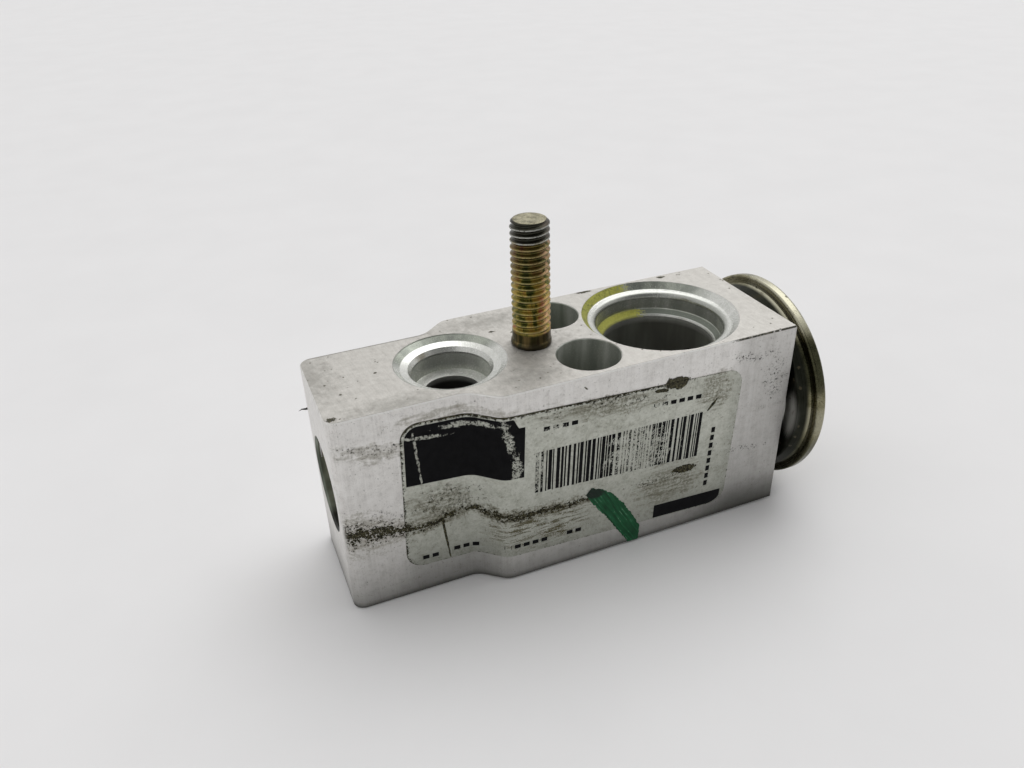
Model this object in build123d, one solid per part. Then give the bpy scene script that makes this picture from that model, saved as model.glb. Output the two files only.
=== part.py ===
from build123d import *
import os

# Block-type thermostatic expansion valve for a vehicle air conditioner. Millimetres.
# Origin: on the pipe face, on the axis of the pipe stud. +X runs towards the power head,
# +Z stands out of the pipe face, and the evaporator face is the lowest plane.

# ---------------------------------------------------------------- block, an aluminium extrusion
BLOCK_HEIGHT = 33.8
NARROW_END_X = -34.05
HEAD_END_X = 39.5
NARROW_WIDTH = 19.5
WIDE_WIDTH = 26.2
SHOULDER_START_X = -14.3
SHOULDER_END_X = -10.3
SHOULDER_HOLLOW_R = 3.5
SHOULDER_CROWN_R = 3.0
CORNER_R = 1.8
EDGE_BREAK = 0.15

# ---------------------------------------------------------------- ports and bolt holes
SUCTION_X = 22.6
SUCTION_BORE_R = 9.1
SUCTION_SOCKET_R = 10.2
SUCTION_RIM_R = 12.5
INLET_X = -13.25
OUTLET_X = -6.0
LIQUID_BORE_R = 4.4
LIQUID_SOCKET_R = 5.93
LIQUID_RIM_R = 8.45
LIQUID_BORE_DEPTH = 8.5
DRILLING_R = 2.8
INLET_DRILLING_X = -14.8
BOLT_X = 6.1
BOLT_Y = 7.2
BOLT_HOLE_R = 4.88
MOUTH_BREAK = 0.15

# ---------------------------------------------------------------- mounting stud, M6
STUD_R = 2.95
STUD_HEIGHT = 19.8
STUD_DEPTH = 9.5
STUD_TIP_CHAMFER = 0.5
STUD_ROOT_R = 2.7
STUD_SINK = 0.4
STUD_HOLE_DEPTH = 11.0

# ---------------------------------------------------------------- the long axis and its bores
AXIS_Z = -16.3
FIT = 0.05                      # radial clearance of a running fit
SEATING = 0.03                  # clearance between pieces that are screwed or pressed together
ADJUSTER_R = 7.05
ADJUSTER_THREAD_END_X = -24.8
ADJUSTER_SEAL_R = 6.4
CHAMBER_START_X = -19.0
CHAMBER_R = 5.6
SEAT_FACE_X = -12.0
SEAT_R = 3.2
SEAT_LENGTH = 2.6
ORIFICE_R = 1.9
OUTLET_CHAMBER_R = 3.0
OUTLET_CHAMBER_END_X = -2.9
ROD_R = 1.1
SEAL_POCKET_R = 2.4
SEAL_POCKET_X = 10.2
HEAD_THREAD_R = 9.05
HEAD_THREAD_DEPTH = 6.9
SENSING_BORE_R = 7.0
GASKET_POCKET_R = 10.9
GASKET_POCKET_DEPTH = 1.6

# ---------------------------------------------------------------- power head
HEAD_R = 17.9
RIM_LIP_X = 42.3
RIM_TOP_X = 44.05
DISH_X = 40.2
DISH_R = 15.6
BOSS_R = 12.2
NECK_BORE_R = 6.9
CUP_FLOOR_X = 41.4
DIAPHRAGM_X = 43.1
DIAPHRAGM_R = 17.4
DIAPHRAGM_THICKNESS = 0.15
CROWN_X = 49.0
FILL_HOLE_R = 1.3
FILL_FACE_X = 48.1
PLUG_BALL_R = 1.7

# ---------------------------------------------------------------- valve train, part open at rest
BALL_R = 2.4
CLOSING_TRAVEL = 0.30
SEAT_MARGIN = 0.05
STOP_DISC_R = 12.5
STOP_DISC_THICKNESS = 1.0
STOP_HUB_R = 3.9
STOP_HUB_X = 38.4
SENSING_ROD_R = 2.6
SENSING_ROD_X = 14.6
ROD_SOCKET_DEPTH = 3.8

# ---------------------------------------------------------------- superheat spring
SPRING_R = 3.4
SPRING_WIRE_R = 0.5
SPRING_TURNS = 4
CLIP_THICKNESS = 0.25
CLIP_LEGS = 3

# ---------------------------------------------------------------- adjusting screw
SCREW_FACE_X = -31.2
SCREW_NOSE_X = -20.6
SCREW_CUP_X = -23.0
SCREW_CUP_R = 4.1
HEX_ACROSS_FLATS = 6.0
HEX_DEPTH = 4.2
SCREW_GROOVE_R = 4.85
ADJUSTER_RING_R = 0.72
ROD_RING_R = 0.62
GASKET_RING_R = 0.72

# ---------------------------------------------------------------- label film on the front flank
FILM_THICKNESS = 0.08
FILM_WIDTH = 54.6
FILM_HEIGHT = 25.7
FILM_CENTRE_X = 2.4
FILM_CENTRE_Z = -16.9
FILM_CORNER_R = 2.8
FILM_TILT = -2.6


# ---------------------------------------------------------------- helpers
def turned(points, rounds=()):
    """Solid of revolution on the long axis, from (station, radius) corners.

    rounds is a list of (corner, radius) pairs for the corners that are rounded.
    """
    section = make_face(Polyline(*points, close=True))
    section = rounded(section, rounds)
    return Pos(0, 0, AXIS_Z) * revolve(Plane.XZ * section, Axis.X)


def rounded(section, rounds):
    """The section with each named corner rounded."""
    for corner, radius in rounds:
        nearest = section.vertices().sort_by_distance((corner[0], corner[1], 0))[0]
        section = fillet(nearest, radius)
    return section


def axial_bore(start_x, end_x, radius):
    """Round cutter on the long axis between two stations."""
    return turned([(start_x, 0), (end_x, 0), (end_x, radius), (start_x, radius)])


def o_ring(station, groove_r, ring_r):
    """O-ring on the long axis whose bore clears a groove of radius groove_r."""
    centre_r = groove_r + FIT + ring_r
    section = Pos(station, centre_r) * Circle(ring_r)
    return Pos(0, 0, AXIS_Z) * revolve(Plane.XZ * section, Axis.X)


def port_cutter(profile, rounds=()):
    """Cutter for a port in the pipe face, from (radius, depth) corners."""
    above = 0.5
    points = [(0, above), (profile[0][0], above)]
    points += [(radius, -depth) for radius, depth in profile]
    points.append((0, -profile[-1][1]))
    section = make_face(Polyline(*points, close=True))
    section = rounded(section, [((radius, -depth), size) for (radius, depth), size in rounds])
    return revolve(Plane.XZ * section, Axis.Z)


def to_evaporator_face(cutter):
    """A pipe-face cutter turned over into the opposite face."""
    return Pos(0, 0, -BLOCK_HEIGHT) * Rot(180, 0, 0) * cutter


# ---------------------------------------------------------------- valve body
def body_outline():
    """Extruded profile: narrow adjuster end, S-shaped shoulders, wide head end."""
    narrow = NARROW_WIDTH / 2
    wide = WIDE_WIDTH / 2
    half = [
        (NARROW_END_X, narrow),
        (SHOULDER_START_X, narrow),
        (SHOULDER_END_X, wide),
        (HEAD_END_X, wide),
    ]
    mirrored = [(x, -y) for x, y in reversed(half)]
    outline = make_face(Polyline(*half, *mirrored, close=True))
    rounds = []
    for side in (1, -1):
        rounds.append(((NARROW_END_X, side * narrow), CORNER_R))
        rounds.append(((SHOULDER_START_X, side * narrow), SHOULDER_HOLLOW_R))
        rounds.append(((SHOULDER_END_X, side * wide), SHOULDER_CROWN_R))
    return rounded(outline, rounds)


def suction_mouth():
    """Dished rim, broad rounded lip and O-ring socket round the suction bore."""
    dish = (SUCTION_RIM_R - 0.95, 1.1)
    lip = (SUCTION_SOCKET_R, 1.3)
    corner = (SUCTION_SOCKET_R, 4.0)
    profile = [
        (SUCTION_RIM_R + MOUTH_BREAK, 0),
        (SUCTION_RIM_R, MOUTH_BREAK),
        dish,
        lip,
        corner,
        (SUCTION_BORE_R + 0.15, 4.75),
        (SUCTION_BORE_R, 5.0),
    ]
    return port_cutter(profile, [(dish, 0.4), (lip, 0.9), (corner, 0.3)])


def liquid_mouth():
    """Spot face, chamfered lip and O-ring socket of a liquid port."""
    floor = (LIQUID_RIM_R - 0.9, 0.8)
    profile = [
        (LIQUID_RIM_R + MOUTH_BREAK, 0),
        (LIQUID_RIM_R, MOUTH_BREAK),
        floor,
        (LIQUID_SOCKET_R + 0.5, 1.15),
        (LIQUID_SOCKET_R, 1.8),
        (LIQUID_SOCKET_R, 4.8),
        (LIQUID_BORE_R, 5.25),
        (LIQUID_BORE_R, LIQUID_BORE_DEPTH),
        (DRILLING_R - 0.1, LIQUID_BORE_DEPTH + 1.0),
    ]
    return port_cutter(profile, [(floor, 0.3)])


def drilling(x, depth):
    """Drilled passage from the pipe face towards the long axis."""
    return Pos(x, 0, -depth / 2) * Cylinder(DRILLING_R, depth)


def hole_mouth(radius):
    """Cutter that breaks the edge of a plain hole in the pipe face."""
    return port_cutter([(radius + MOUTH_BREAK, 0), (radius - 0.1, MOUTH_BREAK + 0.1)])


def stud_hole():
    """Blind hole for the stud's root, countersunk at its mouth."""
    root = Pos(0, 0, -STUD_HOLE_DEPTH / 2) * Cylinder(STUD_ROOT_R + SEATING, STUD_HOLE_DEPTH)
    return root + port_cutter([(STUD_R + FIT, 0), (STUD_ROOT_R, STUD_SINK)])


def cross_bores():
    """Every passage that runs from a port face: suction, liquid and bolt holes."""
    middle = -BLOCK_HEIGHT / 2
    through = BLOCK_HEIGHT + 2
    suction = Pos(SUCTION_X, 0, middle) * Cylinder(SUCTION_BORE_R, through)
    mouths = Pos(SUCTION_X, 0, 0) * suction_mouth() + Pos(INLET_X, 0, 0) * liquid_mouth()
    lower = Pos(SUCTION_X, 0, 0) * suction_mouth() + Pos(OUTLET_X, 0, 0) * liquid_mouth()
    bores = suction + mouths + to_evaporator_face(lower)
    bores += drilling(INLET_DRILLING_X, -AXIS_Z - CHAMBER_R + 1.5)
    bores += to_evaporator_face(drilling(OUTLET_X, BLOCK_HEIGHT + AXIS_Z))
    for side in (1, -1):
        bores += Pos(BOLT_X, side * BOLT_Y, middle) * Cylinder(BOLT_HOLE_R, through)
        mouth = Pos(BOLT_X, side * BOLT_Y, 0) * hole_mouth(BOLT_HOLE_R)
        bores += mouth + to_evaporator_face(mouth)
    return bores


def long_bores():
    """Stepped bore from the adjuster end to the power head's thread."""
    adjuster_bore_r = ADJUSTER_R + FIT
    head_floor_x = HEAD_END_X - HEAD_THREAD_DEPTH
    bores = axial_bore(NARROW_END_X - 1, ADJUSTER_THREAD_END_X, adjuster_bore_r)
    bores += axial_bore(ADJUSTER_THREAD_END_X - 0.1, CHAMBER_START_X, ADJUSTER_SEAL_R)
    bores += axial_bore(CHAMBER_START_X - 0.1, SEAT_FACE_X, CHAMBER_R)
    bores += axial_bore(SEAT_FACE_X - 0.1, SEAT_FACE_X + SEAT_LENGTH, SEAT_R + SEATING)
    bores += axial_bore(SEAT_FACE_X + SEAT_LENGTH - 0.1, OUTLET_CHAMBER_END_X, OUTLET_CHAMBER_R)
    bores += axial_bore(OUTLET_CHAMBER_END_X - 0.1, SUCTION_X, ROD_R + FIT)
    bores += axial_bore(SEAL_POCKET_X, SUCTION_X, SEAL_POCKET_R)
    bores += axial_bore(SUCTION_X + 3, head_floor_x + 0.1, SENSING_BORE_R)
    bores += axial_bore(head_floor_x, HEAD_END_X + 1, HEAD_THREAD_R + SEATING)
    bores += axial_bore(HEAD_END_X - GASKET_POCKET_DEPTH, HEAD_END_X + 1, GASKET_POCKET_R)
    mouth = [
        (NARROW_END_X - 0.1, 0),
        (NARROW_END_X - 0.1, adjuster_bore_r + 0.5),
        (NARROW_END_X + 0.5, adjuster_bore_r - 0.1),
        (NARROW_END_X + 0.5, 0),
    ]
    return bores + turned(mouth)


def valve_body():
    outline = body_outline()
    blank = extrude(outline, -BLOCK_HEIGHT)
    faces = blank.faces().filter_by(Axis.Z)
    blank = chamfer(faces.edges(), EDGE_BREAK)
    return blank - cross_bores() - long_bores() - stud_hole()


def mounting_stud():
    """Stud whose smaller root end is driven into the pipe face."""
    shank = Pos(0, 0, STUD_HEIGHT / 2) * Cylinder(STUD_R, STUD_HEIGHT)
    tip = shank.faces().sort_by(Axis.Z)[-1].edges()
    shank = chamfer(tip, STUD_TIP_CHAMFER)
    root = Pos(0, 0, -STUD_DEPTH / 2) * Cylinder(STUD_ROOT_R, STUD_DEPTH)
    return shank + root


def label_film():
    """Adhesive film that follows the front flank and its shoulder."""
    outline = body_outline()
    skin = offset(outline, FILM_THICKNESS, kind=Kind.INTERSECTION) - outline
    wrap = extrude(skin, -BLOCK_HEIGHT)
    blank = Rot(0, 0, FILM_TILT) * RectangleRounded(FILM_WIDTH, FILM_HEIGHT, FILM_CORNER_R)
    cutter = extrude(Plane.XZ * (Pos(FILM_CENTRE_X, FILM_CENTRE_Z) * blank), WIDE_WIDTH)
    return wrap & cutter


# ---------------------------------------------------------------- power head
def head_base():
    """Threaded neck and dished cup, turned in one piece."""
    neck_x = HEAD_END_X - HEAD_THREAD_DEPTH + 0.3
    ridge_r = HEAD_R - 0.8
    corners = [
        (neck_x, NECK_BORE_R),
        (neck_x, HEAD_THREAD_R - 0.5),
        (neck_x + 0.5, HEAD_THREAD_R),
        (HEAD_END_X, HEAD_THREAD_R),
        (HEAD_END_X, BOSS_R),
        (DISH_X, BOSS_R + 0.4),
        (DISH_X, DISH_R),
        (RIM_LIP_X - 0.3, ridge_r - 0.5),
        (RIM_LIP_X - 0.3, ridge_r),
        (RIM_LIP_X + 0.1, ridge_r),
        (RIM_LIP_X + 0.1, DIAPHRAGM_R),
        (DIAPHRAGM_X, DIAPHRAGM_R),
        (DIAPHRAGM_X, DISH_R),
        (CUP_FLOOR_X, DISH_R - 1.1),
        (CUP_FLOOR_X, NECK_BORE_R),
    ]
    return turned(corners, [((DISH_X, DISH_R), 0.5), ((CUP_FLOOR_X, DISH_R - 1.1), 0.6)])


def head_cover():
    """Pressed dome whose edge is rolled over the cup's flange and welded."""
    clamp_x = DIAPHRAGM_X + DIAPHRAGM_THICKNESS
    lip_r = DIAPHRAGM_R + 0.05
    corners = [
        (RIM_LIP_X, lip_r),
        (clamp_x, lip_r),
        (clamp_x, 15.0),
        (CROWN_X - 3.4, 13.1),
        (CROWN_X - 0.95, 6.3),
        (FILL_FACE_X - 0.9, 4.0),
        (FILL_FACE_X - 0.9, FILL_HOLE_R),
        (FILL_FACE_X, FILL_HOLE_R),
        (FILL_FACE_X, 4.3),
        (CROWN_X, 6.6),
        (CROWN_X - 2.5, 13.9),
        (RIM_TOP_X, 15.9),
        (RIM_TOP_X, HEAD_R),
        (RIM_LIP_X, HEAD_R),
    ]
    rounds = [
        ((CROWN_X, 6.6), 0.8),
        ((CROWN_X - 2.5, 13.9), 2.0),
        ((CROWN_X - 3.4, 13.1), 1.2),
        ((RIM_TOP_X, 15.9), 0.6),
        ((RIM_TOP_X, HEAD_R), 0.6),
        ((RIM_LIP_X, HEAD_R), 0.35),
    ]
    return turned(corners, rounds)


def corrugated_edge(x):
    """Diaphragm half-section line: flat rim, two annular waves, flat centre."""
    rim = Line((x, DIAPHRAGM_R), (x, 14.6))
    wave_out = ThreePointArc((x, 14.6), (x + 0.35, 13.3), (x, 12.0))
    wave_in = ThreePointArc((x, 12.0), (x + 0.35, 10.7), (x, 9.4))
    centre = Line((x, 9.4), (x, 0))
    return [rim, wave_out, wave_in, centre]


def diaphragm():
    near = corrugated_edge(DIAPHRAGM_X)
    far = corrugated_edge(DIAPHRAGM_X + DIAPHRAGM_THICKNESS)
    rim = Line(near[0] @ 0, far[0] @ 0)
    axis = Line(near[-1] @ 1, far[-1] @ 1)
    section = make_face([*near, *far, rim, axis])
    return Pos(0, 0, AXIS_Z) * revolve(Plane.XZ * section, Axis.X)


def charge_plug():
    """Steel ball welded into the fill hole."""
    reach = (PLUG_BALL_R**2 - FILL_HOLE_R**2) ** 0.5
    return Pos(FILL_FACE_X + reach, 0, AXIS_Z) * Sphere(PLUG_BALL_R)


def head_gasket():
    station = HEAD_END_X - GASKET_POCKET_DEPTH / 2
    return o_ring(station, HEAD_THREAD_R, GASKET_RING_R)


# ---------------------------------------------------------------- valve train
def ball_centre_x():
    """Where the ball rests, a closing travel away from its seat."""
    seated = SEAT_FACE_X - (BALL_R**2 - ORIFICE_R**2) ** 0.5
    return seated - CLOSING_TRAVEL - SEAT_MARGIN


def diaphragm_stop():
    """Disc that the diaphragm bears on, with a hub for the sensing rod."""
    top_x = DIAPHRAGM_X - SEAT_MARGIN
    disc_x = top_x - STOP_DISC_THICKNESS
    floor_x = STOP_HUB_X + 2.6
    corners = [
        (STOP_HUB_X, SENSING_ROD_R + SEATING),
        (STOP_HUB_X, STOP_HUB_R),
        (disc_x, STOP_HUB_R),
        (disc_x, STOP_DISC_R),
        (top_x, STOP_DISC_R),
        (top_x, 0),
        (floor_x, 0),
        (floor_x, SENSING_ROD_R + SEATING),
    ]
    return turned(corners, [((disc_x, STOP_HUB_R), 0.6), ((top_x, STOP_DISC_R), 0.4)])


def sensing_rod():
    """Rod across the suction bore, bored at one end for the push rod."""
    end_x = STOP_HUB_X + 2.55
    socket_x = SENSING_ROD_X + ROD_SOCKET_DEPTH
    corners = [
        (SENSING_ROD_X, ROD_R + SEATING),
        (SENSING_ROD_X, SENSING_ROD_R - 0.4),
        (SENSING_ROD_X + 0.4, SENSING_ROD_R),
        (end_x, SENSING_ROD_R),
        (end_x, 0),
        (socket_x, 0),
        (socket_x, ROD_R + SEATING),
    ]
    return turned(corners)


def push_rod():
    start_x = ball_centre_x() + BALL_R + SEATING
    end_x = SENSING_ROD_X + ROD_SOCKET_DEPTH - SEATING
    return axial_bore(start_x, end_x, ROD_R)


def valve_ball():
    return Pos(ball_centre_x(), 0, AXIS_Z) * Sphere(BALL_R)


def holder_flange_x():
    """Face of the ball holder that the clip and the spring bear on."""
    return ball_centre_x() - 1.8


def ball_holder():
    """Cup that cradles the ball and centres the spring."""
    flange_x = holder_flange_x()
    corners = [
        (flange_x - 2.2, 0),
        (flange_x - 2.2, 2.2),
        (flange_x - 1.8, 2.6),
        (flange_x, 2.6),
        (flange_x, 4.3),
        (flange_x + 1.0, 4.3),
        (flange_x + 1.3, 3.0),
        (flange_x + 1.3, 0),
    ]
    cradle = Pos(ball_centre_x(), 0, AXIS_Z) * Sphere(BALL_R + SEATING)
    return turned(corners) - cradle


def damper_clip():
    """Sheet ring with legs that rub on the chamber wall and stop the ball from singing."""
    back_x = holder_flange_x() - CLIP_THICKNESS
    rub_r = CHAMBER_R - FIT
    ring = axial_bore(back_x, holder_flange_x(), 4.3) - axial_bore(
        back_x - 1, holder_flange_x() + 1, 2.6 + SEATING
    )
    shell = axial_bore(back_x, back_x + 2.4, rub_r) - axial_bore(
        back_x + CLIP_THICKNESS, back_x + 3, rub_r - CLIP_THICKNESS
    )
    shell -= axial_bore(back_x - 1, back_x + 3, 4.2)
    leg_window = Pos(back_x + 1, 0, AXIS_Z + 4) * Box(6, 2.6, 8)
    clip = ring
    for number in range(CLIP_LEGS):
        turn = 180 + number * 360 / CLIP_LEGS
        window = Pos(0, 0, AXIS_Z) * Rot(turn, 0, 0) * Pos(0, 0, -AXIS_Z) * leg_window
        clip += shell & window
    return clip


def superheat_spring():
    """Helical spring with closed end coils, between the clip and the screw's cup."""
    first_x = SCREW_CUP_X + SPRING_WIRE_R
    last_x = holder_flange_x() - CLIP_THICKNESS - SPRING_WIRE_R
    height = last_x - first_x
    path = Helix(pitch=height / SPRING_TURNS, height=height, radius=SPRING_R)
    wire = Plane(origin=path @ 0, z_dir=path % 0) * Circle(SPRING_WIRE_R)
    coil = sweep(wire, path=path, is_frenet=True)
    end_coil = Torus(SPRING_R, SPRING_WIRE_R)
    coil = coil + end_coil + Pos(0, 0, height) * end_coil
    return Pos(first_x, 0, AXIS_Z) * Rot(0, 90, 0) * coil


# ---------------------------------------------------------------- seat, seals and adjuster
def valve_seat():
    corners = [
        (SEAT_FACE_X, ORIFICE_R),
        (SEAT_FACE_X, SEAT_R),
        (SEAT_FACE_X + SEAT_LENGTH, SEAT_R),
        (SEAT_FACE_X + SEAT_LENGTH, ORIFICE_R + 0.5),
        (SEAT_FACE_X + SEAT_LENGTH - 0.8, ORIFICE_R),
    ]
    return turned(corners)


def rod_o_ring():
    return o_ring(SEAL_POCKET_X + ROD_RING_R + 0.03, ROD_R - 0.02, ROD_RING_R)


def rod_seal_retainer():
    """Ring that keeps the rod's O-ring in its pocket."""
    start_x = SEAL_POCKET_X + 2 * ROD_RING_R + 0.1
    corners = [
        (start_x, ROD_R + 0.1),
        (start_x, SEAL_POCKET_R - SEATING),
        (start_x + 1.7, SEAL_POCKET_R - SEATING),
        (start_x + 1.7, ROD_R + 0.6),
        (start_x + 1.2, ROD_R + 0.1),
    ]
    return turned(corners)


def adjusting_screw():
    """Plug with a hexagon socket outside and a spring cup inside."""
    nose_r = ADJUSTER_SEAL_R - FIT
    groove_start_x = SCREW_CUP_X - 1.2
    groove_end_x = groove_start_x + 1.8
    corners = [
        (SCREW_FACE_X, 0),
        (SCREW_FACE_X, ADJUSTER_R - 0.6),
        (SCREW_FACE_X + 0.6, ADJUSTER_R),
        (SCREW_CUP_X - 3.6, ADJUSTER_R),
        (SCREW_CUP_X - 3.1, nose_r),
        (groove_start_x, nose_r),
        (groove_start_x, SCREW_GROOVE_R),
        (groove_end_x, SCREW_GROOVE_R),
        (groove_end_x, nose_r),
        (SCREW_NOSE_X - 0.5, nose_r),
        (SCREW_NOSE_X, nose_r - 0.5),
        (SCREW_NOSE_X, SCREW_CUP_R),
        (SCREW_CUP_X, SCREW_CUP_R),
        (SCREW_CUP_X, 0),
    ]
    socket = RegularPolygon(HEX_ACROSS_FLATS / 2, 6, major_radius=False)
    key_hole = extrude(Plane.YZ * socket, HEX_DEPTH)
    return turned(corners) - Pos(SCREW_FACE_X, 0, AXIS_Z) * key_hole


def adjuster_o_ring():
    return o_ring(SCREW_CUP_X - 0.3, SCREW_GROOVE_R, ADJUSTER_RING_R)


# ---------------------------------------------------------------- export
PIECES = {
    "valve_body": valve_body,
    "mounting_stud": mounting_stud,
    "label_film": label_film,
    "head_base": head_base,
    "head_cover": head_cover,
    "head_gasket": head_gasket,
    "diaphragm": diaphragm,
    "charge_plug": charge_plug,
    "diaphragm_stop": diaphragm_stop,
    "sensing_rod": sensing_rod,
    "push_rod": push_rod,
    "rod_o_ring": rod_o_ring,
    "rod_seal_retainer": rod_seal_retainer,
    "valve_seat": valve_seat,
    "valve_ball": valve_ball,
    "ball_holder": ball_holder,
    "damper_clip": damper_clip,
    "superheat_spring": superheat_spring,
    "adjusting_screw": adjusting_screw,
    "adjuster_o_ring": adjuster_o_ring,
}

os.makedirs("parts", exist_ok=True)
for node, make in PIECES.items():
    export_step(make(), f"parts/{node}.step")
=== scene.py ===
import math
from types import SimpleNamespace

import bpy
import numpy as np
from mathutils import Matrix, Vector, noise


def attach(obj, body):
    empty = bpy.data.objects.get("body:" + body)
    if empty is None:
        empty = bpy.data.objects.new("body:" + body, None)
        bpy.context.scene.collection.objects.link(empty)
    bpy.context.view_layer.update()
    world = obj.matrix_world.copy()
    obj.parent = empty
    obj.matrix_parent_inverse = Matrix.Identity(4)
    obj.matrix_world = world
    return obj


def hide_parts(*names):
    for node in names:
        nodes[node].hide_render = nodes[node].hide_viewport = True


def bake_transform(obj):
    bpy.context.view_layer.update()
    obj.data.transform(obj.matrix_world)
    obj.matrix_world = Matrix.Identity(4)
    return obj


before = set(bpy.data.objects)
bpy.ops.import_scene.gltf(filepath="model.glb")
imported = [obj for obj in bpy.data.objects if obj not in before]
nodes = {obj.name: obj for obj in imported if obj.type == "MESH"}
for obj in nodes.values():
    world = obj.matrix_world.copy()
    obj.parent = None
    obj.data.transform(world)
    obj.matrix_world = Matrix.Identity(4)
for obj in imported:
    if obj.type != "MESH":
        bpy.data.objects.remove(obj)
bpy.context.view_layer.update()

# ------------------------------------------------------------------ sizes, in millimetres
MM = 0.001
AXIS_Z = -16.3
BOTTOM_Z = -33.8
RIM_LOW = (43.2, -34.2)
HEAD_END_X = 39.5
DISH_X = 40.2
NARROW_END_X = -34.05
SUCTION_X, INLET_X, OUTLET_X = 22.6, -13.25, -6.0
BOLT_X, BOLT_Y, BOLT_HOLE_R = 6.1, 7.2, 4.88
SUCTION_RIM_R, SUCTION_SOCKET_R = 12.65, 10.2
LIQUID_RIM_R, ADJUSTER_BORE_R = 8.6, 7.1
BACK_EDGE_Y = 9.7
NARROW_Y, WIDE_Y = 9.75, 13.1
FILM_CENTRE = (2.4, -16.9)
FILM_TILT = math.radians(-2.6)
FILM_SIZE = (54.6, 25.7)
FILM_CORNER = 2.8
FILM_OFFSET = 0.08


# ------------------------------------------------------------------ shader graph helper
class Value:
    """A float or vector socket that can be used in arithmetic."""

    def __init__(self, graph, socket):
        self.graph, self.socket = graph, socket

    def __add__(self, other):
        return self.graph.math("ADD", self, other)

    def __radd__(self, other):
        return self.graph.math("ADD", other, self)

    def __sub__(self, other):
        return self.graph.math("SUBTRACT", self, other)

    def __rsub__(self, other):
        return self.graph.math("SUBTRACT", other, self)

    def __mul__(self, other):
        return self.graph.math("MULTIPLY", self, other)

    def __rmul__(self, other):
        return self.graph.math("MULTIPLY", other, self)

    def __truediv__(self, other):
        return self.graph.math("DIVIDE", self, other)


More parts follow.
